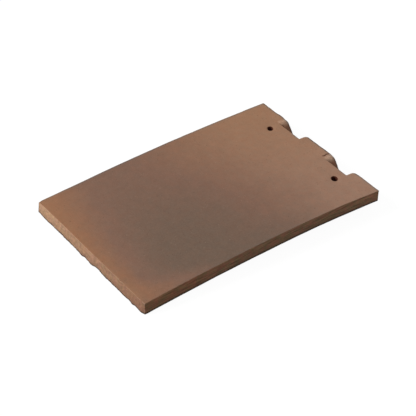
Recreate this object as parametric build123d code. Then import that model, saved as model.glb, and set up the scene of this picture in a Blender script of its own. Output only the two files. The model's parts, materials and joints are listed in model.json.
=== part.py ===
"""Plain clay roof tile, in millimetres: an arched slab with two nail holes, and two nibs at its head to hang by.

Each nib is clay pressed down out of the head edge, so a sloping notch lies in the face above it. The tile is drawn
flat first, with X across it, Y from tail to head, and the two ends of its underside at Z = 0. It is then laid face up
on a level floor, where it stands on its nibs and on the lower edge of its tail.
"""

import os
from math import asin, atan2, cos, degrees, hypot, radians, sin, tan

from build123d import *

# Slab
tile_length = 265.0
tile_width = 165.0
tile_thickness = 12.5
camber_rise = 4.3  # how far the middle of the length stands above the two ends
corner_radius = 1.5  # the four upright corners
arris_radius = 1.1  # the edges round the face and the underside

# Nail holes
hole_diameter = 6.0
hole_spacing = 94.0
hole_from_head = 22.5
hole_rim_radius = 0.8  # the mouth of each hole in the face

# Nibs under the head
nib_spacing = 68.0
nib_root_width = 30.0
nib_tip_width = 24.0
nib_length = 13.0  # along the tile, in from the head
nib_drop = 9.5  # below the two ends of the underside
nib_corner_radius = 4.0  # between the sloping sides and the tip
nib_edge_radius = 1.6  # round the end that bears on a batten, and round the end at the head

# Notches in the face, over the nibs
notch_width = 28.0  # across the face, between the slopes of the two sides
notch_reach = 10.0  # in from the head, at the face
notch_depth = 11.0  # below the face
notch_side_draft = 36.0  # degrees off upright
notch_back_draft = 18.0  # degrees off upright
notch_roll_radius = 7.0  # clay drawn down over the two side edges
notch_roll_lift = 0.15  # how far above the face the roll would run out level
notch_floor_radius = 3.0

overrun = 5.0  # how far each cut runs past the clay

half_length = tile_length / 2
camber_radius = (half_length**2 + camber_rise**2) / (2 * camber_rise)
end_slope = asin(half_length / camber_radius)
level = 1e-6  # a face whose normal rises by less than this stands upright


def in_pairs(spacing):
    """The two places, either side of the middle, of a pair that is this far apart."""
    return (-spacing / 2, spacing / 2)


def arched_slab():
    """The long section, arched above and below, carried across the width. The face keeps its sharp edges here."""
    underside = ThreePointArc((-half_length, 0), (0, camber_rise), (half_length, 0))
    face = ThreePointArc(
        (half_length, tile_thickness),
        (0, tile_thickness + camber_rise),
        (-half_length, tile_thickness),
    )
    section = make_face([underside, Line(underside @ 1, face @ 0), face, Line(face @ 1, underside @ 0)])
    slab = extrude(Plane.YZ * section, tile_width / 2, both=True)
    slab = fillet(slab.edges().filter_by(Axis.Z), corner_radius)
    return fillet(slab.faces().sort_by(Axis.Z)[0].edges(), arris_radius)


def nib():
    """A block that narrows downwards, rooted in the slab. Its end at Y = 0 is flush with the head."""
    half_root = nib_root_width / 2
    half_tip = nib_tip_width / 2
    root = tile_thickness / 2
    outline = Polyline(
        (-half_root, root),
        (-half_root, 0),
        (-half_tip, -nib_drop),
        (half_tip, -nib_drop),
        (half_root, 0),
        (half_root, root),
        close=True,
    )
    section = make_face(outline)
    section = fillet(section.vertices().group_by(Axis.Y)[0], nib_corner_radius)
    block = extrude(Plane.XZ * section, nib_length)
    for end in (0, -1):
        edges = block.faces().sort_by(Axis.Y)[end].edges()
        block = fillet(edges.sort_by(Axis.Z)[:-1], nib_edge_radius)
    return block


def notch():
    """The press mark over a nib: a section with sloping sides and rolled edges, cut off by a sloping back.

    Here Z = 0 is the face and Y = 0 is the head, from which the mark runs in towards -Y.
    """
    lean = tan(radians(notch_side_draft))
    half_top = notch_width / 2 + notch_roll_lift * lean
    half_floor = notch_width / 2 - notch_depth * lean
    flank = half_top + notch_roll_radius + overrun
    trough = FilletPolyline(
        (-flank, notch_roll_lift),
        (-half_top, notch_roll_lift),
        (-half_floor, -notch_depth),
        (half_floor, -notch_depth),
        (half_top, notch_roll_lift),
        (flank, notch_roll_lift),
        radius=(notch_roll_radius, notch_floor_radius, notch_floor_radius, notch_roll_radius),
    )
    lid = Polyline(trough @ 1, (flank, overrun), (-flank, overrun), trough @ 0)
    section = Plane.XZ * make_face([trough, lid])
    run = extrude(section, notch_reach + overrun) + extrude(section, -overrun)
    back = Plane(Pos(0, -notch_reach, 0) * Rot(X=notch_back_draft - 90))
    return split(run, back, keep=Keep.TOP)


def with_rounded_rim(tile):
    """Rounds the edge where what looks up, the face and the notches, meets the upright sides."""
    upper = tile.faces().filter_by(lambda face: face.normal_at().Z > level)
    sides = tile.faces().filter_by(lambda face: abs(face.normal_at().Z) <= level)
    return fillet(upper.edges() & sides.edges(), arris_radius)


def with_nail_hole(tile, across):
    """Drills straight down through the slab and eases the mouth in the face."""
    along = half_length - hole_from_head
    top = tile_thickness + camber_rise
    drill = Pos(across, along, 0) * extrude(Circle(hole_diameter / 2), top)
    drilled = tile - drill
    mouth = drilled.edges().sort_by_distance((across, along, top))[0]
    return fillet(mouth, hole_rim_radius)


def laid_down(tile):
    """Tilts the tile until the rounded ends of its nibs and the round of its tail edge touch one level floor.

    The floor is the line that touches two circles from below: the tail edge's round and the nibs' round.
    """
    tail_along = -half_length + arris_radius
    tail_height = arris_radius * (1 + sin(end_slope)) / cos(end_slope)
    run = half_length - nib_length + nib_edge_radius - tail_along
    rise = -nib_drop + nib_edge_radius - tail_height
    tilt = asin((nib_edge_radius - arris_radius) / hypot(run, rise)) - atan2(rise, run)
    tilted = Rot(X=degrees(tilt)) * tile
    box = tilted.bounding_box()
    return Pos(-box.center().X, -box.center().Y, -box.min.Z) * tilted


tile = arched_slab()
for across in in_pairs(nib_spacing):
    at_face = Pos(across, half_length, tile_thickness) * Rot(X=-degrees(end_slope))
    tile += Pos(across, half_length, 0) * nib()
    tile -= at_face * notch()
tile = with_rounded_rim(tile)
for across in in_pairs(hole_spacing):
    tile = with_nail_hole(tile, across)
tile = laid_down(tile)

os.makedirs("parts", exist_ok=True)
export_step(tile, "parts/roof_tile.step")
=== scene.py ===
"""A plain clay roof tile lying face up on a pale floor, dressed over its CAD solid.

The tile is one closed skin, worked out with numpy in its own flat frame, in millimetres: X across the tile,
Y from tail to head, and the two ends of the underside at Z = 0. The finished points are then turned and moved
to where the tile lies, which the place of a nail hole in the frame gives.
"""

import json
from math import asin, cos, pi, radians, sin, tan

import bpy
import numpy as np
from mathutils import Matrix, Vector


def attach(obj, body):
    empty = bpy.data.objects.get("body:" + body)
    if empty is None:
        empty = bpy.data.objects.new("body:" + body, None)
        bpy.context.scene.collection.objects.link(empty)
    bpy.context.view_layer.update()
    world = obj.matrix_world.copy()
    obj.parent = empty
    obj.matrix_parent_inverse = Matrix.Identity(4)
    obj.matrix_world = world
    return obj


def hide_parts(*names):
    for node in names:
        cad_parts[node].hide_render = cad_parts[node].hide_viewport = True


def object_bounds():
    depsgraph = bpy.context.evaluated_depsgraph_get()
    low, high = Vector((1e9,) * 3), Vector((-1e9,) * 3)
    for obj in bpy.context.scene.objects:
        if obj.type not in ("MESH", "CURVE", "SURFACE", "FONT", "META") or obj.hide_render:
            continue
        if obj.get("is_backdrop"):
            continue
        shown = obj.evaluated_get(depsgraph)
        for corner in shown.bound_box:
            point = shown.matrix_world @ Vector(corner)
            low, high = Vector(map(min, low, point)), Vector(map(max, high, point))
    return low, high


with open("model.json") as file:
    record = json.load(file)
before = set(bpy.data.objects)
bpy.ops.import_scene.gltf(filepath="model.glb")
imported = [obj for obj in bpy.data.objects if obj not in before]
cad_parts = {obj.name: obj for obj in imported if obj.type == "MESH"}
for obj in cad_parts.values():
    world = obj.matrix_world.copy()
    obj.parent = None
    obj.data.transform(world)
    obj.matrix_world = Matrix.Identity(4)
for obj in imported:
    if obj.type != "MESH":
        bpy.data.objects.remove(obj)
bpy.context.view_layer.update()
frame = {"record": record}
mounts = {mount["name"]: mount for mount in frame["record"]["mounts"]}

MM = 0.001
tiny = 1e-6

# Slab
tile_length = 265.0
tile_width = 165.0
tile_thickness = 12.6
camber_rise = 4.3  # how far the middle of the length stands above the two ends
arris = 0.5  # the rounding of the edges round the face
arris_change = (0.2, 22.0)  # by what share it changes along them, and over what length
lower_arris = 0.35  # the same round the underside
lower_arris_change = (0.4, 12.0)
corner_turn = 0.1  # the rounding, in plan, of the face inside its four corners
corner_calm = 0.8  # how much less rough those corners are than the sides
corner_point = 1.2  # how far the rim stands out there, as a share of the rest
right_spread = (0.65, 0.0)  # how far the right side's lower edge stands out, at the tail and at the head
left_spread = -0.7  # the same of the left side

half_length = tile_length / 2
half_width = tile_width / 2
inner_length = half_length - arris
inner_width = half_width - arris
camber_radius = (half_length**2 + camber_rise**2) / (2 * camber_rise)

# Nail holes
# Place across, radius, how oval each is, and the direction of its long axis
nail_holes = ((-46.5, 2.97, 0.13, radians(139.0)), (47.5, 3.32, 0.13, radians(142.0)))
hole_from_head = 22.5  # as in the frame
hole_along = half_length - hole_from_head
hole_mouth = 0.5  # the rounding of the mouth in the face
dish_depth = 0.22  # how far the face sinks towards a hole
dish_reach = 4.4  # out from the hole's edge

# Nibs under the head, and the notches in the face over them
notches = ((-32.2, 28.2), (35.85, 27.7))  # place across, and width at the face, of each
nib_root_width = 30.0
nib_tip_width = 24.0
nib_length = 13.0
nib_drop = 9.5
nib_root_blend = 1.6
nib_tip_blend = 6.0
nib_front_draft = 5.0  # degrees off upright, at the end that bears on a batten
notch_reach = 9.8
notch_depth = 11.0
notch_side_draft = 37.5  # degrees off upright
notch_back_draft = 18.0
notch_roll = 4.6  # how far down the clay is drawn over the edge of one side
notch_crisp = 0.7  # the same over the edge of the other side
notch_floor_blend = 2.0
notch_back_blend = 1.2
notch_lip_blend = 0.3  # at the crisp edge along the back
notch_mouth_turn = 4.0  # the rounding, in plan, of the crisp side's corner at the mouth

# Marks of making and handling. A change with two places begins at the first and is complete at the second.
# Place across, width and height of clay pushed up along the head
heaves = ((-56.0, 4.8, 0.6), (9.0, 4.8, 0.4), (15.8, 2.6, 0.6), (60.0, 4.5, 0.5))
heave_reach = 8.0
crack_place = 15.0  # a shrinkage crack in from the head, between the notches
crack_slant = 0.02  # how far it moves across for each millimetre in
crack_wander = 0.25  # how far it strays to either side
crack_wander_turn = 1.3  # radians of that wave for each millimetre in
crack_width = 0.72
crack_depth = 0.8
crack_mouth = (0.0, 2.0)  # in from the head, to its full depth
crack_end = (7.35, 9.8)  # in from the head, to where it has closed
crack_slip = 0.12  # how far the clay has sunk on the notch's side of it
crack_slip_span = (0.0, 0.8)  # beside the crack, down that step
crack_level = (1.5, 6.0)  # beside the crack, to where the clay is level again
crack_slip_end = (3.92, 11.8)  # in from the head, to the same
tail_top = (-1.0, 1.3)  # how far the upper edge of the tail's cut stands out, at its left and at its right
tail_foot = (0.1, 2.1)  # the same of its lower edge
tail_ends = (-82.0, 60.0)  # where across those two are
tail_reach = 12.0  # how far in from the tail the face and the underside follow
tail_corner_span = (half_width - 3.5, half_width)  # across, where the lower edge draws in at its right
tail_corner_draw = 0.5  # by what share it does
tail_lift = 1.75  # how far the lower edge is worn away upwards at its left end
tail_lift_span = (64.0, 82.5)  # from the middle to the left
tail_ragged = 0.3  # how ragged the rest of it is
tail_ragged_size = (4.0, 20.0, 1.0)
tail_ragged_mean = 0.5
tail_torn_reach = 4.0
# Place across, width and depth of what is torn out of that edge
tail_bites = (
    (-59.0, 10.0, 0.65),
    (-39.0, 38.0, 0.65),
    (-28.0, 10.0, 0.3),
    (-7.0, 4.5, 0.4),
    (12.6, 12.0, 1.65),
    (34.0, 8.0, 0.7),
    (44.0, 5.0, 0.3),
    (61.5, 5.0, 0.4),
    (70.5, 5.0, 0.4),
)
# Place across and width of the lumps left on it, and how far each stands out
tail_lumps = ((-12.0, 7.0, 0.35), (2.5, 7.0, 0.42), (66.0, 4.0, 0.3), (79.0, 7.0, 0.35))
tail_rub = 0.6  # how far the tail's left corner is rubbed down
tail_rub_size = (2.0, 2.0)
# Place along, width and depth of the waves of the right side's lower edge
right_sags = ((-127.0, 10.0, -0.2), (-38.0, 12.0, 0.28), (92.0, 18.0, 0.45), (124.0, 14.0, -0.42))
right_sag_reach = 30.0
# Place along, width and height of the left side's waves
left_bows = ((18.0, 34.0, 0.45), (98.0, 18.0, -0.24))
left_bow_reach = 40.0
# The head's two corners and the tail's left one: which way each lies from the middle, how far it is drawn
# across and along, and how far in from the corner that goes
drawn_corners = (
    ((1.0, 1.0), (1.7, 0.6), (50.0, 50.0)),
    ((-1.0, 1.0), (-1.4, -0.45), (40.0, 120.0)),
    ((-1.0, -1.0), (-1.15, 0.0), (40.0, 50.0)),
)

# Relief of the clay: height and grain size
face_wave = (0.16, 42.0)
face_drag = (0.035, (3.2, 70.0, 1.0))
face_grain = (0.03, 5.0)
notch_grain = (0.18, 2.4)
notch_grain_span = (0.3, 3.0)  # below the face
under_wave = (0.2, 38.0)
under_drag = (0.07, (2.6, 90.0, 1.0))
under_grain = (0.05, 4.0)
end_grain = (0.22, (3.6, 3.6, 2.4))
side_drag = (0.13, (3.0, 60.0, 1.5))
side_grain = (0.04, 3.0)
# Depth and size of its pits, the noise at which one begins, and how softly it does
face_pits = (0.35, 4.5, 0.72, 0.08)
end_pits = (0.5, 2.4, 0.35, 0.1)
rim_pits = (0.4, 6.5, 0.42, 0.12)

# Where the colours change, again from one place to another
mark_names = ("cut", "flank", "low", "highlight_edge", "dark_edge", "worn", "drawn", "pressed", "hollow_shade")
# Painted shade in the hollows: dark in the crack, in and round the nail holes, and where a notch's rolled
# side meets its back
crack_shade = 0.85
hole_shade = (0.0, 0.6)  # out from a hole's edge
wall_shade = 0.4  # how dark a notch's rolled side is where it meets the back
wall_shade_depth = (0.6, 1.8)  # below the face
wall_shade_inward = (6.2, 8.2)  # in from the head
wall_shade_across = (3.0, 7.0)  # from the notch's middle towards that side
# Paler drawn clay with a painted sheen, over the notches' rolled sides and beside the crack
drawn_start = (-3.0, -0.5)  # across, from where the roll begins
drawn_end = (3.0, 6.5)
drawn_inward = (7.5, 10.5)  # in from the head
slip_drawn = 0.7  # as pale as this share of drawn clay, beside the crack
# Notch clay darkens with depth: its own pressed colour, with painted shade deeper down
pressed_span = (1.0, 4.0)  # below the face
between_left = (-18.0, -10.0)  # across, at the left notch
between_right = (8.0, 16.0)  # across, at the right notch
over_middle = (0.0, 4.0)  # from a notch's middle to the right
over_end = (0.0, 3.0)  # from a notch's right end to the left
unpressed = 0.1  # a notch shallower than this counts as face
unmarked = 9.0  # a distance from the edges at which nothing is marked
# Lines along the edges of the face: strength, and from where to where each fades, in from its edge
head_dark = (0.8, 0.2, 1.8)
left_dark = (0.8, 0.1, 1.1)
# Painted shade along the face just behind a notch's back edge
lip_shade = (0.56, 0.2, 1.3)  # along the back of a notch
far_worn = (1.0, 0.6, 3.2)  # along those three
tail_worn = (0.7, 1.0, 6.0)
right_worn = (0.4, 0.4, 2.4)
tail_worn_across = (0.0, 50.0)
dark_more = 0.5  # how much darker the lines are between the notches
rim_dark_more = 0.3  # the same on the rounded edge
rim_dark_left = 0.7  # there, the left side's share of what the head has
# Painted highlight along the upper edges of the tail and the right side, and at the tail's right corner
tail_highlight_loss = 0.35  # how much weaker the tail's pale edge is at its right
tail_highlight_across = (-40.0, 50.0)
right_highlight = 0.4
left_end_span = (inner_width - 1.0, inner_width - 0.2)  # from the middle to the tail's dark left end
right_end_span = (inner_width - 0.8, inner_width)  # from the middle to its pale right end
rim_span = (0.0, 0.35)  # shares of the rim's height, down which the face's marks fade

# The grid of the face and the underside
edge_strip = 4.0
edge_step = 0.4
open_step = 1.45  # across, and twice that along
hole_ring = 3.2  # half the side of the grid's square that becomes a hole's edge
hole_block = 5.6  # half the side of the grid's square that is drawn round a hole
hole_ring_spread = 1.4  # the less, the sooner the rings between them move apart
hole_step = 0.4
hole_wall_rows = 10
notch_step = 0.8
left_notch_columns = (-62.0, -17.0)
crack_step = 0.33
crack_columns = (crack_place - 2.5, crack_place + 2.5)
nib_front_step = 0.25
nib_front_rows = (half_length - nib_length - 1.0, half_length - nib_length + 1.5)
notch_back_step = 0.45
notch_back_end = half_length - notch_reach + 4.0
arc_rows = 5
side_rows = 22
table_side = 64  # cells after which the noise repeats
layer_fall = 0.55  # height of a layer of grain, as a share of the one before


def ramp(values, start, stop):
    """Rises from 0 at start to 1 at stop along 3t^2 - 2t^3, level at both ends."""
    t = np.clip((values - start) / (stop - start), 0.0, 1.0)
    return t * t * (3.0 - 2.0 * t)


def fading(values, start, stop):
    """Falls from 1 at start to 0 at stop along the same curve."""
    return 1.0 - ramp(values, start, stop)


def soft_positive(values, blend):
    """The positive part of values, its corner at 0 rounded by the parabola (v + blend)^2 / 4 blend."""
    rounded = (values + blend) ** 2 / (4.0 * blend)
    return np.where(np.abs(values) < blend, rounded, np.maximum(values, 0.0))


def soft_least(first, second, blend):
    """The lesser of two values, rounded where they cross."""
    return first - soft_positive(first - second, blend)


def noise(points, cell, seed):
    """Smooth noise from -1 to 1: random numbers on a lattice of this cell, eased between its points."""
    table = np.random.default_rng(seed).uniform(-1.0, 1.0, (table_side,) * 3)
    place = points / np.asarray(cell)
    corner = np.floor(place).astype(int)
    part = place - corner
    ease = part * part * (3.0 - 2.0 * part)
    total = np.zeros(points.shape[:-1])
    for step in np.ndindex(2, 2, 2):
        weight = np.where(step, ease, 1.0 - ease).prod(axis=-1)
        index = (corner + step) % table_side
        total += weight * table[index[..., 0], index[..., 1], index[..., 2]]
    return total


def grain(points, cell, seed, layers):
    """Layers of noise added up, each with half the cell and about half the height of the one before."""
    cell = np.asarray(cell, dtype=float)
    return sum(layer_fall**layer * noise(points, cell * 0.5**layer, seed + layer) for layer in range(layers))


def relief(points, height, cell, seed, layers=1):
    """Grain of this height, up and down."""
    return height * grain(points, cell, seed, layers)


def pits(points, depth, cell, start, blend, seed):
    """Depth of the pits that lie where noise rises past start."""
    return depth * soft_positive(noise(points, cell, seed) - start, blend)


def arch(y):
    """Height of the underside's arc above its two ends."""
    return camber_rise - camber_radius + np.sqrt(camber_radius**2 - y**2)


def bump(x, y, place, size):
    """A round hump of height 1 about a place, exp(-(x/a)^2 - (y/b)^2)."""
    return np.exp(-(((x - place[0]) / size[0]) ** 2) - ((y - place[1]) / size[1]) ** 2)


def plateau(x, place, width):
    """A flat-topped hump of height 1 about a place, exp(-(2x/width)^4)."""
    return np.exp(-((2.0 * (x - place) / width) ** 4))


def notch(offset, inward, width):
    """Depth of the press mark over a nib, from the place across, the distance in from the head and its width.

    It is the least of two sloping sides, a sloping back and a level floor. One side's edge is drawn down in a
    wide roll. The other's is crisp, and turns outwards at the mouth by r - sqrt(r^2 - (r - inward)^2).
    """
    lean = tan(radians(notch_side_draft))
    short = np.clip(notch_mouth_turn - inward, 0.0, notch_mouth_turn)
    turn = notch_mouth_turn - np.sqrt(notch_mouth_turn**2 - short**2)
    rolled = soft_positive((width / 2 + offset) / lean, notch_roll)
    crisp = soft_positive((width / 2 + turn - offset) / lean, notch_crisp)
    side = soft_least(rolled, crisp, notch_floor_blend)
    back = (notch_reach - inward) / tan(radians(notch_back_draft))
    depth = soft_least(side, back, notch_back_blend)
    depth = soft_least(depth, notch_depth, notch_floor_blend)
    return soft_positive(depth - notch_lip_blend, notch_lip_blend)


def nib(offset, inward):
    """Drop of a nib below the underside's ends: the least of a tapering side, a steep front and a tip."""
    lean = (nib_root_width - nib_tip_width) / 2 / nib_drop
    side = (nib_root_width / 2 - np.abs(offset)) / lean
    front = (nib_length - inward) / tan(radians(nib_front_draft))
    drop = soft_least(soft_least(side, front, nib_tip_blend), nib_drop, nib_tip_blend)
    return soft_positive(drop, nib_root_blend)


def crack(x, inward):
    """Shares of the crack's line and of the slip beside it.

    The line is a narrow bell across a slanting, wandering path, and runs out at its inner end. The slip is a
    step on one side of that path, which eases out over a few millimetres.
    """
    past = x - crack_place - crack_slant * inward - crack_wander * np.sin(inward * crack_wander_turn)
    line = np.exp(-((past / crack_width) ** 2)) * fading(inward, *crack_end)
    slip = ramp(past, *crack_slip_span) * fading(past, *crack_level)
    return line, slip * fading(inward, *crack_slip_end)


def hole_edge(x, y, hole):
    """Distance outside the edge of a nail hole, whose radius is r (1 + oval cos 2(angle - draw))."""
    across, radius, oval, draw = hole
    angle = np.arctan2(y - hole_along, x - across)
    return np.hypot(x - across, y - hole_along) - radius * (1.0 + oval * np.cos(2.0 * (angle - draw)))


def tail_edges(x):
    """How far the tail's upper and lower edges stand out: a slant across, and lumps on the lower one."""
    top = np.interp(x, tail_ends, tail_top)
    foot = np.interp(x, tail_ends, tail_foot)
    foot = foot + sum(out * plateau(x, across, width) for across, width, out in tail_lumps)
    return top, foot * (1.0 - tail_corner_draw * ramp(x, *tail_corner_span))


def tail_torn(x, flat):
    """How far the tail's lower edge is torn away upwards: worn at its left, ragged, and bitten."""
    torn = tail_lift * ramp(-x, *tail_lift_span)
    torn = torn + tail_ragged * (tail_ragged_mean + grain(flat, tail_ragged_size, seed=15, layers=3))
    return torn + sum(depth * plateau(x, across, width) for across, width, depth in tail_bites)


def face_height(x, y):
    """The arched face, less the notches, the eased and dished holes and the crack, with the clay's relief.

    The mouth of a hole is eased by a quarter round of radius r: it lies r - sqrt(r^2 - (r - past)^2) lower.
    """
    inward = half_length - y
    flat = np.stack([x, y, np.zeros_like(x)], axis=-1)
    height = arch(y) + tile_thickness
    for across, width in notches:
        depth = notch(x - across, inward, width)
        height -= depth + relief(flat, *notch_grain, seed=33, layers=2) * ramp(depth, *notch_grain_span)
    for hole in nail_holes:
        past = hole_edge(x, y, hole)
        short = np.clip(hole_mouth - past, 0.0, hole_mouth)
        height -= hole_mouth - np.sqrt(hole_mouth**2 - short**2)
        height -= dish_depth * fading(past, 0.0, dish_reach)
    line, slip = crack(x, inward)
    height -= (crack_depth * line + crack_slip * slip) * ramp(inward, *crack_mouth)
    for across, width, rise in heaves:
        height += rise * bump(x, inward, (across, 0.0), (width, heave_reach))
    height -= tail_rub * bump(x, y, (-half_width, -half_length), tail_rub_size)
    height += relief(flat, *face_wave, seed=1)
    height += relief(flat, *face_drag, seed=2)
    height += relief(flat, *face_grain, seed=3, layers=2)
    return height - pits(flat, *face_pits, seed=5)


def underside_height(x, y):
    """The arched underside, less the nibs, with coarser relief, waves at its right and a torn tail."""
    inward = half_length - y
    flat = np.stack([x, y, np.zeros_like(x)], axis=-1)
    height = arch(y)
    for across, _ in notches:
        height -= nib(x - across, inward)
    height += relief(flat, *under_wave, seed=11)
    height += relief(flat, *under_drag, seed=12)
    height += relief(flat, *under_grain, seed=13, layers=2)
    for along, width, depth in right_sags:
        height -= depth * bump(x, y, (half_width, along), (right_sag_reach, width))
    return height + tail_torn(x, flat) * ramp(-y, half_length - tail_torn_reach, inner_length)


def face_and_underside(x, y):
    """Points of the face and of the underside over the grid, with their edges moved out or in."""
    stand = np.interp(y, (-half_length, half_length), right_spread)
    spread = x + stand * ramp(x, half_width - edge_strip, inner_width)
    spread = spread - left_spread * ramp(-x, half_width - edge_strip, inner_width)
    tailward = ramp(-y, half_length - tail_reach, inner_length)
    top, foot = tail_edges(x)
    face = np.stack([x, y - top * tailward, face_height(x, y)], axis=-1)
    under = np.stack([spread, y - foot * tailward, underside_height(x, y)], axis=-1)
    return face, under


def stations(start, *runs):
    """Places along one axis from start on. Each run gives its end and its longest step."""
    places = [np.array([start])]
    for stop, step in runs:
        count = int(np.ceil((stop - start) / step - tiny))
        places.append(np.linspace(start, stop, count + 1)[1:])
        start = stop
    return np.concatenate(places)


def lines_across():
    """The grid's places across the tile, close at the edges, the holes, the notches and the crack."""
    left_hole = nail_holes[0][0]
    right_hole = nail_holes[1][0]
    return stations(
        -inner_width,
        (-inner_width + edge_strip, edge_step),
        (left_notch_columns[0], open_step),
        (left_hole - hole_block, notch_step),
        (left_hole + hole_block, hole_step),
        (left_notch_columns[1], notch_step),
        (crack_columns[0], open_step),
        (crack_columns[1], crack_step),
        (right_hole - hole_block, notch_step),
        (right_hole + hole_block, hole_step),
        (inner_width - edge_strip, open_step),
        (inner_width, edge_step),
    )


def lines_along():
    """The grid's places from tail to head, close at the edges, holes, nibs' fronts and notches."""
    return stations(
        -inner_length,
        (-inner_length + edge_strip, edge_step),
        (hole_along - hole_block, 2 * open_step),
        (hole_along + hole_block, hole_step),
        (nib_front_rows[0], notch_step),
        (nib_front_rows[1], nib_front_step),
        (notch_back_end, notch_back_step),
        (inner_length, edge_step),
    )


def with_round_corners(x, y):
    """Turns the plan's four corners into quarter rounds.

    In each corner block u and v run from 0 to 1 towards the two sides. There u becomes u sqrt(1 - v^2 / 2),
    and v likewise.
    """
    u = np.clip((np.abs(x) - inner_width) / corner_turn + 1.0, 0.0, 1.0)
    v = np.clip((np.abs(y) - inner_length) / corner_turn + 1.0, 0.0, 1.0)
    less_u = u * (1.0 - np.sqrt(1.0 - v**2 / 2))
    less_v = v * (1.0 - np.sqrt(1.0 - u**2 / 2))
    return x - np.sign(x) * less_u * corner_turn, y - np.sign(y) * less_v * corner_turn


def with_round_rings(x, y, hole):
    """Draws the square rings of the grid about a nail hole into rounds.

    A ring of half side s goes (s - ring)^2 / spread outside the hole's edge, fully at the hole's own ring and
    not at all at the block's.
    """
    across = hole[0]
    u = x - across
    v = y - hole_along
    ring = np.maximum(np.abs(u), np.abs(v))
    out = np.maximum(np.hypot(u, v), tiny)
    aim = out - hole_edge(x, y, hole) + np.maximum(ring - hole_ring, 0.0) ** 2 / hole_ring_spread
    share = np.where(ring < hole_block, fading(ring, hole_ring, hole_block), 0.0)
    scale = (1.0 - share) + share * aim / out
    return across + u * scale, hole_along + v * scale


def with_drawn_corners(points):
    """Draws three corners of the plan out or in, by a share that rises to each, and bows the left side."""
    x, y, z = points.T
    moved_x = x
    moved_y = y
    for (side, end), (across, along), (reach_x, reach_y) in drawn_corners:
        share = ramp(side * x, half_width - reach_x, half_width)
        share = share * ramp(end * y, half_length - reach_y, half_length)
        moved_x = moved_x + across * share
        moved_y = moved_y + along * share
    for along, width, height in left_bows:
        moved_x = moved_x - height * bump(x, y, (-half_width, along), (left_bow_reach, width))
    return np.stack([moved_x, moved_y, z], axis=-1)


def loop(first, last):
    """Grid indices once round a block, anticlockwise, from its first corner to its last and back."""
    (i0, j0), (i1, j1) = first, last
    there = np.arange(i0, i1)
    up = np.arange(j0, j1)
    i = np.concatenate([there, np.full(len(up), i1), there[::-1] + 1, np.full(len(up), i0)])
    j = np.concatenate([np.full(len(there), j0), up, np.full(len(there), j1), up[::-1] + 1])
    return i, j


def quads(a, b, c, d):
    """Four arrays of point numbers as rows of four."""
    return np.stack([a.ravel(), b.ravel(), c.ravel(), d.ravel()], axis=-1)


def strip(rows):
    """Faces between rows of points that run round a closed loop, each row under the one before."""
    following = np.roll(rows, -1, axis=1)
    return quads(rows[:-1], rows[1:], following[1:], following[:-1])


def outward_directions(x, y):
    """Plan directions straight out from the outline. In the corners they turn, and are corner_point long."""
    past = np.stack([np.abs(x) - inner_width, np.abs(y) - inner_length], axis=-1) + corner_turn
    outward = np.maximum(past, 0.0) * np.sign(np.stack([x, y], axis=-1))
    outward /= np.linalg.norm(outward, axis=-1, keepdims=True)
    return outward * np.where(np.all(outward != 0.0, axis=-1, keepdims=True), corner_point, 1.0)


def rim_section():
    """The rim's section, in rows from face to underside: a quarter round, an upright side, a quarter round.

    The five columns are how far out a row lies, the shares of the upper round, of the side and of the lower
    round that it has passed, and how far its surface looks up. At angle a of the upper round, the first is
    sin a, the second 1 - cos a and the last cos a.
    """
    turn = np.linspace(0.0, pi / 2, arc_rows + 1)
    back = turn[::-1]
    side = np.linspace(0.0, 1.0, side_rows + 1)[1:-1]
    none = np.zeros_like(side)
    reach = np.concatenate([np.sin(turn), none + 1.0, np.sin(back)])
    above = np.concatenate([1.0 - np.cos(turn), none + 1.0, np.ones_like(turn)])
    down = np.concatenate([np.zeros_like(turn), side, np.ones_like(turn)])
    below = np.concatenate([np.zeros_like(turn), none, np.cos(back)])
    rise = np.concatenate([np.cos(turn), none, -np.cos(back)])
    return [share[:, None] for share in (reach, above, down, below, rise)]


def rim_points(upper, lower, outward):
    """The rim's section carried along the outline, and roughened.

    upper and lower are the edges of the face and the underside, and outward is the plan direction at each
    point. The ends are torn and pitted, the sides are dragged along the arch, and both rounds are worn.
    """
    reach, above, down, below, rise = rim_section()
    fall = arris * (1.0 + relief(upper, *arris_change, seed=21))
    lift = lower_arris * (1.0 + relief(lower, *lower_arris_change, seed=22))
    span = upper[:, 2] - lower[:, 2] - fall - lift
    plan = upper[:, :2] + (lower - upper)[:, :2] * down[..., None] + outward * arris * reach[..., None]
    z = upper[:, 2] - fall * above - span * down - lift * below
    points = np.concatenate([plan, z[..., None]], axis=-1)

    ends = np.abs(outward[:, 1])
    sides = np.abs(outward[:, 0])
    unarched = np.concatenate([plan, (z - arch(plan[..., 1]))[..., None]], axis=-1)
    torn = relief(points, *end_grain, seed=23, layers=3) - pits(points, *end_pits, seed=27)
    drag = relief(unarched, *side_drag, seed=28) + relief(points, *side_grain, seed=29, layers=2)
    worn = pits(points, *rim_pits, seed=25) * 2.0 * reach * np.abs(rise)
    push = reach * (ends * torn + sides * drag) - worn
    push = push * (1.0 - corner_calm * np.minimum(2.0 * ends * sides, 1.0))
    upright = np.broadcast_to(rise[..., None], push.shape + (1,))
    normal = np.concatenate([outward * reach[..., None], upright], axis=-1)
    return points + normal * push[..., None]


def between_notches(x):
    """1 between the two notches, easing to 0 at their edges."""
    return ramp(x, *between_left) * fading(x, *between_right)


def over_notch(x):
    """1 across the right half of each notch, easing to 0 at its ends."""
    offsets = [(x - across, width / 2) for across, width in notches]
    return sum(ramp(half - off, *over_end) * ramp(off, *over_middle) for off, half in offsets)


def drawn_down(offset, inward, width):
    """Share of paler clay with a painted sheen where a notch's rolled side begins. It fades down the side and
    in from the head.
    """
    past = offset + width / 2 + notch_roll * tan(radians(notch_side_draft))
    return ramp(past, *drawn_start) * fading(past, *drawn_end) * fading(inward, *drawn_inward)


def edge_line(distance, strength, start, stop):
    """A line along an edge, which fades with the distance in from it."""
    return strength * fading(distance, start, stop)


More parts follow.
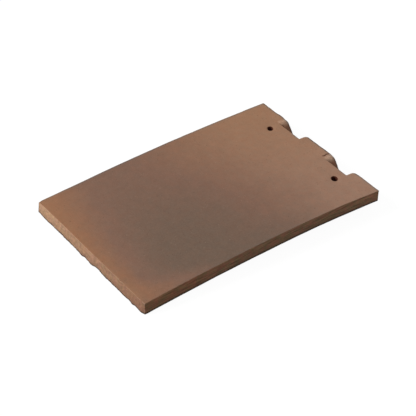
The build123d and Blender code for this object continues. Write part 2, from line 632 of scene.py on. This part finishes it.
def face_marks(x, y):
    """Marks of the face: drawn clay with painted sheen, notch clay with painted shade, painted shade in the
    hollows, the dark lines along the far edges, and worn edges.

    Each fades with the distance in from its edge, or comes with the depth of a notch.
    """
    inward = half_length - y
    headward = inner_length - y
    leftward = inner_width + x
    depth = sum(notch(x - across, inward, width) for across, width in notches)
    drawn = sum(drawn_down(x - across, inward, width) for across, width in notches)
    line, slip = crack(x, inward)

    # Painted shade in the hollows: the crack, round the nail holes, and a notch's corner where its rolled
    # side meets the back
    at_back = ramp(depth, *wall_shade_depth) * ramp(inward, *wall_shade_inward)
    hollow_shade = crack_shade * line
    for across, _ in notches:
        hollow_shade = hollow_shade + wall_shade * at_back * ramp(across - x, *wall_shade_across)
    for hole in nail_holes:
        hollow_shade = hollow_shade + fading(hole_edge(x, y, hole), *hole_shade)

    over = over_notch(x)
    behind = over * (inward - notch_reach) + unmarked * (1.0 - over)
    behind = np.where(depth < unpressed, behind, unmarked)
    dark = np.maximum(edge_line(headward, *head_dark), edge_line(leftward, *left_dark))
    dark = np.maximum(dark, edge_line(behind, *lip_shade))

    worn = edge_line(np.minimum(np.minimum(headward, leftward), behind), *far_worn)
    worn = np.maximum(worn, edge_line(inner_length + y, *tail_worn) * ramp(x, *tail_worn_across))
    worn = np.maximum(worn, edge_line(inner_width - x, *right_worn))
    return {
        "drawn": np.maximum(drawn, slip_drawn * slip),
        "pressed": ramp(depth, *pressed_span),
        "hollow_shade": np.minimum(hollow_shade, 1.0),
        "dark_edge": (1.0 + dark_more * between_notches(x)) * dark,
        "worn": worn,
    }


def rim_marks(upper, outward):
    """Marks of the rim: its cut ends, its long sides, how low it is, and the lines along its upper round.

    The upper round's share is sin 2a at angle a. The head and the left side have a dark and worn line there,
    and the tail and the right side a painted highlight.
    """
    reach, _, down, _, rise = rim_section()
    across = upper[:, 0]
    right, head = np.clip(outward, 0.0, 1.0).T
    left, tail = np.clip(-outward, 0.0, 1.0).T
    upper_round = np.clip(2.0 * reach * rise, 0.0, 1.0)
    away = np.maximum(head, rim_dark_left * left)
    dark = away * (1.0 + rim_dark_more * between_notches(across))
    # Painted highlight along the upper edges of the tail and the right side
    pale = tail * (1.0 - tail_highlight_loss * ramp(across, *tail_highlight_across)) + right_highlight * right
    worn = away + tail_worn[0] * tail * ramp(across, *tail_worn_across)
    left_end = tail * ramp(-across, *left_end_span) * reach
    right_end = tail * ramp(across, *right_end_span) * reach
    return {
        "cut": np.abs(outward[:, 1]) * reach**2,
        "flank": np.abs(outward[:, 0]) * reach**2,
        "low": down,
        "highlight_edge": np.maximum(upper_round * pale, right_end),
        "dark_edge": np.maximum(upper_round * dark, left_end),
        "worn": upper_round * worn,
    }


def marked(shape, **given):
    """One row for each point of a block: its marks in the order of mark_names, 0 where none is given."""
    columns = [np.broadcast_to(given.get(name, 0.0), shape).ravel() for name in mark_names]
    return np.stack(columns, axis=-1)


def tile_skin():
    """Points, faces and marks of the tile: face and underside on one grid, a rim round both, two bores."""
    lines_x = lines_across()
    lines_y = lines_along()
    x, y = np.meshgrid(lines_x, lines_y, indexing="ij")
    x, y = with_round_corners(x, y)
    for hole in nail_holes:
        x, y = with_round_rings(x, y, hole)
    face, under = face_and_underside(x, y)
    on_face = face_marks(x, y)

    across_count, along_count = x.shape
    count = x.size
    number = np.arange(count).reshape(x.shape)
    kept = np.ones((across_count - 1, along_count - 1), dtype=bool)
    half_ring = np.array([-hole_ring, hole_ring]) - tiny
    bores = []
    for across, *_ in nail_holes:
        i = np.searchsorted(lines_x, across + half_ring)
        j = np.searchsorted(lines_y, hole_along + half_ring)
        kept[i[0] : i[1], j[0] : j[1]] = False
        bores.append(loop((i[0], j[0]), (i[1], j[1])))
    a = number[:-1, :-1][kept]
    b = number[1:, :-1][kept]
    c = number[1:, 1:][kept]
    d = number[:-1, 1:][kept]
    faces = [quads(a, b, c, d), quads(a, d, c, b) + count]
    points = [face.reshape(-1, 3), under.reshape(-1, 3)]
    marks = [marked(x.shape, **on_face), marked(x.shape, low=1.0)]

    edge = loop((0, 0), (across_count - 1, along_count - 1))
    outward = outward_directions(x[edge], y[edge])
    on_rim = rim_marks(face[edge], outward)
    for name in ("drawn", "pressed", "hollow_shade"):
        on_rim[name] = on_face[name][edge] * fading(on_rim["low"], *rim_span)
    walls = [(rim_points(face[edge], under[edge], outward), on_rim, edge, False)]
    down = np.linspace(0.0, 1.0, hole_wall_rows + 1)[:, None, None]
    # The bore walls are painted dark all through, as shade inside the nail holes
    for ring in bores:
        walls.append((face[ring] * (1.0 - down) + under[ring] * down, {"hollow_shade": 1.0}, ring, True))

    start = 2 * count
    for wall, on_wall, ring, turned in walls:
        shape = wall.shape[:2]
        points.append(wall[1:-1].reshape(-1, 3))
        marks.append(marked(shape, **on_wall).reshape(*shape, -1)[1:-1].reshape(-1, len(mark_names)))
        rows = start + np.arange(len(points[-1])).reshape(-1, shape[1])
        rows = np.concatenate([number[ring][None], rows, number[ring][None] + count])
        faces.append(strip(rows[:, ::-1] if turned else rows))
        start += len(points[-1])

    used, faces = np.unique(np.concatenate(faces), return_inverse=True)
    marks = dict(zip(mark_names, np.concatenate(marks)[used].T))
    return with_drawn_corners(np.concatenate(points)[used]), faces.reshape(-1, 4), marks


def laid_down(points):
    """Turns points about X and moves them, so that a bore's middle comes to its place in the frame."""
    mount = mounts["nail_hole_left"]
    tilt = asin(-mount["axis"][1])
    turn = np.array([[1.0, 0.0, 0.0], [0.0, cos(tilt), -sin(tilt)], [0.0, sin(tilt), cos(tilt)]])
    middle = arch(hole_along) + mount["dims"]["length_mm"] / 2
    bore = np.array([mount["pos_m"][0] / MM, hole_along, middle])
    return (points - bore) @ turn.T * MM + np.array(mount["pos_m"])


def put(tree, kind, inputs=None, **fields):
    """Adds a shader node, sets its fields, gives each input a value or a link, and hands back its outputs."""
    node = tree.nodes.new("ShaderNode" + kind)
    for name, value in fields.items():
        setattr(node, name, value)
    for key, value in (inputs or {}).items():
        if isinstance(value, bpy.types.NodeSocket):
            tree.links.new(value, node.inputs[key])
        else:
            node.inputs[key].default_value = value
    return node.outputs


def joined(kind, inputs, **fields):
    """The same, in the tree that the linked inputs are in."""
    tree = next(value.id_data for value in inputs.values() if isinstance(value, bpy.types.NodeSocket))
    return put(tree, kind, inputs, **fields)


def blank_tree(owner):
    """The node tree of a material or a world, emptied."""
    owner.use_nodes = True
    owner.node_tree.nodes.clear()
    return owner.node_tree


def placed(name, data):
    """A new object in the scene."""
    thing = bpy.data.objects.new(name, data)
    bpy.context.collection.objects.link(thing)
    return thing


def maths(what, first, second):
    """One sum of two numbers."""
    return joined("Math", {0: first, 1: second}, operation=what)[0]


def times(first, second):
    """Two numbers multiplied."""
    return maths("MULTIPLY", first, second)


def vectors(what, inputs):
    """One sum of vectors."""
    return joined("VectorMath", inputs, operation=what)


def axes(place):
    """A place's three parts, by name."""
    return joined("SeparateXYZ", {0: place})


def shade(value):
    """A number as a grey."""
    return joined("CombineColor", {0: value, 1: value, 2: value})[0]


def speckle(place, size, detail, roughness, output="Fac"):
    """Noise of this grain size in millimetres, about 0.5 in the mean."""
    inputs = {"Vector": place, "Scale": 1.0 / size, "Detail": detail, "Roughness": roughness}
    return joined("TexNoise", inputs)[output]


def between(value, low, high, start=0.0, stop=1.0, smooth=True):
    """A value taken from low..high to start..stop, held at both ends."""
    inputs = {"Value": value, "From Min": low, "From Max": high, "To Min": start, "To Max": stop}
    kind = "SMOOTHSTEP" if smooth else "LINEAR"
    return joined("MapRange", inputs, interpolation_type=kind)["Result"]


def mixed(share, first, second, way="MIX"):
    """Two colours mixed by a share from 0 to 1."""
    inputs = {0: share, 6: first, 7: second}
    return joined("Mix", inputs, data_type="RGBA", blend_type=way)[2]


def tinted(colour, tint, share=1.0):
    """A colour multiplied by a tint, in part or in full."""
    return mixed(share, colour, tint, "MULTIPLY")


def patch(place, middle, size, turn, inner, outer):
    """1 inside a turned ellipse and 0 outside it, fading between inner and outer of its half axes."""
    turned = (0.0, 0.0, radians(turn))
    inputs = {"Vector": place, "Location": (*middle, 0.0), "Rotation": turned, "Scale": (*size, endless)}
    local = joined("Mapping", inputs, vector_type="TEXTURE")[0]
    return between(vectors("LENGTH", {0: local})["Value"], inner, outer, 1.0, 0.0)


def rgb(red, green, blue):
    """A colour as shader sockets take it."""
    return (red, green, blue, 1.0)


# Clay colours
head_left = rgb(0.323, 0.172, 0.098)
head_right = rgb(0.314, 0.181, 0.121)
tail_left = rgb(0.328, 0.152, 0.072)
tail_right = rgb(0.435, 0.175, 0.057)
mauve_flash = rgb(0.203, 0.112, 0.076)
grey_flash = rgb(0.150, 0.097, 0.068)
sandy_cut = rgb(0.390, 0.232, 0.145)
brown_cut = rgb(0.225, 0.114, 0.071)
head_cut = rgb(0.220, 0.125, 0.080)
red_flank = rgb(0.257, 0.116, 0.068)
olive_flank = rgb(0.206, 0.124, 0.063)
red_under = rgb(0.272, 0.137, 0.080)
sandy_under = rgb(0.262, 0.154, 0.097)
# Paler drawn clay with a painted sheen
drawn_clay_and_sheen = rgb(0.500, 0.328, 0.230)
# Pressed clay in the notches, darkened with painted shade
pressed_clay = rgb(0.285, 0.132, 0.076)
# Painted shade for the crack, the nail holes and the notches' back corners
painted_hollow_shade = rgb(0.060, 0.012, 0.004)
# Painted highlight along the upper edges of the tail and the right side
highlight_line = rgb(0.460, 0.300, 0.210)
# Dark lines along the far edges; behind the notches' back edges they are painted shade
dark_line = rgb(0.085, 0.054, 0.038)
# Painted shade along the lower edges
foot_shade_line = rgb(0.050, 0.030, 0.019)
dark_speck = rgb(0.070, 0.040, 0.028)
pale_speck = rgb(0.500, 0.350, 0.250)
pink_tint = rgb(1.025, 0.982, 0.995)
yellow_tint = rgb(0.990, 1.010, 0.910)
worn_tint = rgb(0.91, 1.02, 1.14)
burnt_tint = rgb(1.00, 0.90, 0.83)
lighter_tint = rgb(1.16, 1.13, 1.13)
shaded_tint = rgb(0.87, 0.93, 0.97)
dull_tint = rgb(0.92, 0.985, 1.01)
warm_tint = rgb(1.025, 0.990, 0.975)
cool_tint = rgb(0.975, 1.010, 1.025)

# Where they meet, in millimetres, or on the rim in shares of its height, 1 at the foot
across_span = (-85.0, 85.0)
along_span = (-60.0, 60.0)
flash_slant = 0.13  # how far the flash's edge towards the head moves for each millimetre across
flash_head = (122.0, -55.0)
flash_tail_slant = 0.07
flash_tail = (-175.0, -67.0)
flash_across = (-85.0, 50.0)
flash_left = 0.64  # how strong the flash is at the left
mauve_span = (0.0, 0.6)  # shares of the flash at which the clay turns mauve
grey_span = (0.6, 1.0)  # and then grey
# Middle, half axes, turn in degrees, and the shares of the half axes between which a patch fades
warm_patch = ((90.0, -80.0), (24.5, 71.0), -25.0, 0.25, 1.0)
dull_patch = ((84.0, 26.0), (42.0, 62.0), 0.0, 0.2, 1.0)
endless = 1e6  # a half axis that never ends
warm_strength = 0.35
burnt_span = (-20.0, -110.0)
lighter_span = (75.0, 125.0)
# Painted shade: darker down the sides and the ends, with a dark line along their lower edges
shaded_span = (0.2, 0.8)
side_foot_span = (0.74, 0.95)
end_shade_span = (0.3, 1.0)
end_foot_span = (0.83, 0.97)
foot_shade_strength = 0.8
rim_foot_span = (0.86, 0.98)
rim_foot_shade_strength = 0.85
wall_span = (0.05, 0.5)  # shares of an end or a side at which it counts as one
under_span = (0.97, 1.0)

# Noise: grain size in millimetres, detail and roughness
sand_noise = (1.5, 3.0, 0.65)
side_blotch_noise = (5.0, 3.0, 0.6)
end_blotch_noise = (4.0, 3.0, 0.6)
under_blotch_noise = (34.0, 6.0, 0.65)
tint_noise = (6.0, 4.0, 0.6)
fine_noise = (0.6, 4.0, 0.65)
coarse_noise = (2.2, 3.0, 0.6)
drift_noise = (40.0, 4.0, 0.5)  # this makes the borders of the face's colours wander
drift_reach = 24.0
side_run = 0.1  # how much a place along the length counts, which draws noise out into streaks
under_run = 0.03

# The part of the noise that a change is spread over
most_noise = (0.3, 0.7)
all_noise = (0.25, 0.75)
patch_noise = (0.35, 0.65)
blotch_noise = (0.40, 0.60)
under_blotch_part = (0.32, 0.68)

# Noise as above, and the shades of the colour, or the shares of a mark, that it ranges over
clouds = ((9.0, 5.0, 0.7), (0.93, 1.07))
side_streaks = ((1.4, 2.0, 0.5), (0.66, 1.36))
end_lumps = ((2.4, 4.0, 0.65), (0.72, 1.28))
under_drags = ((3.0, 4.0, 0.6), (0.92, 1.08))
under_sands = ((1.6, 3.0, 0.65), (0.88, 1.12))
dusts = ((0.7, 3.0, 0.65), (0.955, 1.045))
highlight_patches = ((3.5, 3.0, 0.6), (0.04, 0.52))
drawn_sheen_patches = ((1.4, 3.0, 0.6), (0.15, 0.85))
dark_patches = ((7.0, 4.0, 0.6), (0.35, 0.80))
# Noise, the part of it that makes a speck, and how strong the speck is
dark_specks = ((1.3, 1.0, 0.5), (0.70, 0.76), 0.5)
pale_specks = ((1.1, 1.0, 0.5), (0.72, 0.78), 0.3)
sand_flash_span = (0.2, 0.9)  # shares of the flash over which the sand grows
sand_strengths = (0.03, 0.09)
side_blotch_across = (-10.0, 10.0)  # from the left side to the right
side_blotch_strengths = (0.3, 1.0)
# Painted shade, darker towards the foot of the cut ends
end_shades = (1.0, 0.84)

# Surface
coarse_strength = 0.3  # how much of the coarse grain there is besides the cut ends
bump_strength = 0.6
bump_height = 0.14 * MM
roughnesses = (0.82, 0.95)
sheen = 0.25


def dappled(colour, place, kind, shades, part=most_noise):
    """A colour made darker and lighter, from one shade to another, by this kind of noise."""
    value = between(speckle(place, *kind), *part, *shades, smooth=False)
    return tinted(colour, shade(value))


def patchy(mark, place, kind, shares):
    """A mark made weaker and stronger, from one share to another, by this kind of noise."""
    return times(mark, between(speckle(place, *kind), *patch_noise, *shares))


def specked(colour, speck, place, kind, part, strength):
    """A colour with specks of another, where this kind of noise is high."""
    return mixed(between(speckle(place, *kind), *part, 0.0, strength), colour, speck)


def kiln_flash(place):
    """How far the kiln has flashed the face, from 0 to 1.

    It is the product of three soft ramps, which fall off towards the head, towards the tail and, in part,
    towards the left. The first two lie on a slant. A faint warm patch near the right edge is taken out.
    """
    part = axes(place)
    slant = maths("SUBTRACT", part["Y"], times(part["X"], flash_slant))
    tail = maths("ADD", part["Y"], times(part["X"], flash_tail_slant))
    flash = between(slant, *flash_head)
    flash = times(flash, between(tail, *flash_tail))
    flash = times(flash, between(part["X"], *flash_across, flash_left, 1.0))
    warm = times(patch(place, *warm_patch), warm_strength)
    return times(flash, maths("SUBTRACT", 1.0, warm))


def face_colour(place):
    """Tan clay, warmer at the tail, under the kiln's mauve and grey flash, clouded and sandy."""
    drift = speckle(place, *drift_noise, output="Color")
    drift = vectors("SUBTRACT", {0: drift, 1: (0.5, 0.5, 0.5)})[0]
    drift = vectors("SCALE", {0: drift, 3: drift_reach})[0]
    wavy = vectors("ADD", {0: place, 1: drift})[0]
    part = axes(wavy)

    rightward = between(part["X"], *across_span)
    tail = mixed(rightward, tail_left, tail_right)
    head = mixed(rightward, head_left, head_right)
    colour = mixed(between(part["Y"], *along_span), tail, head)
    flash = kiln_flash(wavy)
    colour = mixed(between(flash, *mauve_span, smooth=False), colour, mauve_flash)
    colour = mixed(between(flash, *grey_span, smooth=False), colour, grey_flash)
    colour = tinted(colour, dull_tint, patch(place, *dull_patch))

    colour = dappled(colour, place, *clouds, all_noise)
    sand = between(speckle(place, *sand_noise), *most_noise, -1.0, 1.0, smooth=False)
    sand = times(sand, between(flash, *sand_flash_span, *sand_strengths))
    return tinted(colour, shade(maths("ADD", sand, 1.0)))


def side_colour(place, low):
    """The long sides: clay dragged into streaks, redder at the tail, lighter at the head, and darker below in
    painted shade.
    """
    part = axes(place)
    run = times(part["Y"], side_run)
    down = times(low, tile_thickness)
    streaks = joined("CombineXYZ", {0: part["X"], 1: run, 2: down})[0]
    blotch = between(speckle(place, *side_blotch_noise), *blotch_noise, -0.5, 0.5)
    blotch = times(blotch, between(part["X"], *side_blotch_across, *side_blotch_strengths))
    colour = mixed(maths("ADD", blotch, 0.5), red_flank, olive_flank)
    colour = dappled(colour, streaks, *side_streaks)
    colour = tinted(colour, burnt_tint, between(part["Y"], *burnt_span))
    colour = tinted(colour, lighter_tint, between(part["Y"], *lighter_span))
    colour = tinted(colour, shaded_tint, between(low, *shaded_span))
    return mixed(between(low, *side_foot_span, 0.0, foot_shade_strength), colour, foot_shade_line)


def end_colour(place, low):
    """The cut ends: sandy at the tail's left, browner elsewhere, lumpy, and darker to the foot in painted
    shade.
    """
    part = axes(place)
    colour = mixed(between(part["X"], *across_span, smooth=False), sandy_cut, brown_cut)
    colour = mixed(between(part["Y"], *along_span), colour, head_cut)
    colour = dappled(colour, place, *end_lumps)
    colour = tinted(colour, shade(between(low, *end_shade_span, *end_shades)))
    blotch = between(speckle(place, *end_blotch_noise), *blotch_noise)
    colour = tinted(colour, mixed(blotch, pink_tint, yellow_tint))
    return mixed(between(low, *end_foot_span, 0.0, foot_shade_strength), colour, foot_shade_line)


def under_colour(place):
    """The underside: red clay with sandy blotches, and drag marks along the length."""
    part = axes(place)
    run = times(part["Y"], under_run)
    streaks = joined("CombineXYZ", {0: part["X"], 1: run, 2: 0.0})[0]
    blotch = between(speckle(place, *under_blotch_noise), *under_blotch_part)
    colour = mixed(blotch, red_under, sandy_under)
    colour = dappled(colour, streaks, *under_drags)
    return dappled(colour, place, *under_sands)


def clay_colour(place, mark):
    """The colour all over: face, underside, sides and ends, the marks over them with their painted shade,
    highlight and sheen, tints, dust and specks.
    """
    colour = face_colour(place)
    colour = mixed(between(mark["low"], *under_span), colour, under_colour(place))
    colour = mixed(mark["flank"], colour, side_colour(place, mark["low"]))
    colour = mixed(mark["cut"], colour, end_colour(place, mark["low"]))

    wall = between(maths("MAXIMUM", mark["cut"], mark["flank"]), *wall_span)
    # Painted shade at the foot of the ends and sides
    foot = between(mark["low"], *rim_foot_span, 0.0, rim_foot_shade_strength)
    # Over it: painted shade at the foot of the ends and sides, a painted highlight on the upper edges, drawn
    # clay with painted sheen, notch clay with painted shade, and dark lines along the far edges
    layers = (
        (times(foot, wall), foot_shade_line),
        (patchy(mark["highlight_edge"], place, *highlight_patches), highlight_line),
        (patchy(mark["drawn"], place, *drawn_sheen_patches), drawn_clay_and_sheen),
        (mark["pressed"], pressed_clay),
        (patchy(mark["dark_edge"], place, *dark_patches), dark_line),
    )
    for share, clay in layers:
        colour = mixed(share, colour, clay)
    colour = tinted(colour, worn_tint, mark["worn"])
    # Painted shade in the crack, the nail holes and the notches' back corners
    colour = mixed(mark["hollow_shade"], colour, painted_hollow_shade)

    tint = between(speckle(place, *tint_noise), *most_noise)
    colour = tinted(colour, mixed(tint, warm_tint, cool_tint))
    colour = dappled(colour, place, *dusts)
    colour = specked(colour, dark_speck, place, *dark_specks)
    return specked(colour, pale_speck, place, *pale_specks)


def fired_clay():
    """Matt fired clay: tan, with a grey kiln flash over the face, a sandy cut at the tail, and grain."""
    material = bpy.data.materials.new("fired_clay")
    tree = blank_tree(material)
    place = put(tree, "TexCoord")["Object"]
    place = vectors("SCALE", {0: place, 3: 1.0 / MM})[0]
    mark = {name: put(tree, "Attribute", attribute_name=name)["Fac"] for name in mark_names}

    fine = speckle(place, *fine_noise)
    coarse = speckle(place, *coarse_noise)
    height = times(coarse, maths("ADD", mark["cut"], coarse_strength))
    height = maths("ADD", fine, height)
    inputs = {"Strength": bump_strength, "Distance": bump_height, "Height": height}
    inputs = {
        "Base Color": clay_colour(place, mark),
        "Roughness": between(fine, *most_noise, *roughnesses, smooth=False),
        "Normal": joined("Bump", inputs)[0],
        "Specular IOR Level": sheen,
    }
    surface = joined("BsdfPrincipled", inputs)[0]
    joined("OutputMaterial", {"Surface": surface})
    return material


def roof_tile():
    """The tile's skin as a mesh object."""
    points, faces, marks = tile_skin()
    mesh = bpy.data.meshes.new("clay_tile")
    mesh.from_pydata(laid_down(points).tolist(), [], faces.tolist())
    for name, values in marks.items():
        mesh.attributes.new(name, "FLOAT", "POINT").data.foreach_set("value", values.astype(np.float32))
    mesh.polygons.foreach_set("use_smooth", np.ones(len(mesh.polygons), dtype=bool))
    mesh.materials.append(fired_clay())
    tile = placed("clay_tile", mesh)
    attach(tile, "root")
    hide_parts("roof_tile")


# Camera, fitted to the tile's corners and edges in the photograph
view_azimuth = radians(49.2341)
view_elevation = radians(38.2158)
view_roll = radians(4.7298)
view_angle = radians(13.5874)
view_target = Vector((16.326, -15.157, 21.159)) * MM
view_distance = 1578.724 * MM
view_near = 0.05  # nothing nearer than this is seen, in metres

# Light: how bright each part leaves a white level surface, where 1 is white
sky_level = 0.40
key_level = 0.54
key_direction = Vector((-0.40, -0.75, 0.53)).normalized()
key_angle = radians(28.0)  # how wide the panel looks from the tile
floor_size = 12.0
floor_white = 1.04  # the floor's brightness as the camera sees it
floor_shadow = 0.085  # how much of that the object's shadow can take away
floor_bounce = 0.40  # the floor's brightness as the tile sees it


def camera():
    """The photograph's view: back points from target to camera, and right and up are rolled about it."""
    level = Vector((cos(view_azimuth), sin(view_azimuth), 0.0))
    away = Vector((sin(view_azimuth), -cos(view_azimuth), 0.0))
    back = away * cos(view_elevation) + Vector((0.0, 0.0, sin(view_elevation)))
    upright = back.cross(level)
    right = level * cos(view_roll) + upright * sin(view_roll)
    up = upright * cos(view_roll) - level * sin(view_roll)
    data = bpy.data.cameras.new("camera")
    data.angle = view_angle
    data.clip_start = view_near
    matrix = Matrix((right, up, back)).transposed().to_4x4()
    matrix.translation = view_target + back * view_distance
    bpy.context.scene.camera = placed("camera", data)
    bpy.context.scene.camera.matrix_world = matrix


def key_light():
    """A large soft panel, far off. Its strength leaves key_level on a level white surface: level pi / cos."""
    data = bpy.data.lights.new("key", "SUN")
    data.angle = key_angle
    data.energy = key_level * pi / key_direction.z
    lamp = placed("key", data)
    lamp.location = view_target + key_direction * view_distance
    lamp.rotation_euler = key_direction.to_track_quat("Z", "Y").to_euler()


def seen_ray(tree):
    """1 for what the camera sees, straight or by reflection or through glass."""
    path = put(tree, "LightPath")
    bent = maths("MAXIMUM", path["Is Glossy Ray"], path["Is Transmission Ray"])
    return maths("MAXIMUM", path["Is Camera Ray"], bent)


def sky():
    """An even sky that lights the tile, and shows white."""
    world = bpy.data.worlds.new("sky")
    strength = between(seen_ray(blank_tree(world)), 0.0, 1.0, sky_level, 1.0, smooth=False)
    even = joined("Background", {"Color": rgb(1.0, 1.0, 1.0), "Strength": strength})[0]
    joined("OutputWorld", {"Surface": even})
    bpy.context.scene.world = world


def matt_grey(tree, level):
    """A matt surface that is equally bright in red, green and blue."""
    return put(tree, "BsdfDiffuse", {"Color": rgb(level, level, level)})[0]


def floor():
    """A level white floor under the tile's lowest point, that keeps a soft shadow. From below it is clear."""
    half = floor_size / 2
    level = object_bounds()[0][2]
    corners = [(-half, -half, level), (half, -half, level), (half, half, level), (-half, half, level)]
    mesh = bpy.data.meshes.new("floor")
    mesh.from_pydata(corners, [], [(0, 1, 2, 3)])
    material = bpy.data.materials.new("floor")
    tree = blank_tree(material)
    glow = put(tree, "Emission", {"Strength": floor_white - floor_shadow})[0]
    white = joined("AddShader", {0: matt_grey(tree, floor_shadow), 1: glow})[0]
    above = {0: seen_ray(tree), 1: matt_grey(tree, floor_bounce), 2: white}
    surface = joined("MixShader", above)[0]
    clear = put(tree, "BsdfTransparent")[0]
    below = put(tree, "NewGeometry")["Backfacing"]
    surface = joined("MixShader", {0: below, 1: surface, 2: clear})[0]
    joined("OutputMaterial", {"Surface": surface})
    mesh.materials.append(material)
    ground = placed("floor", mesh)
    ground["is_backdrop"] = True


roof_tile()
camera()
key_light()
sky()
floor()
bpy.context.scene.view_settings.view_transform = "Standard"
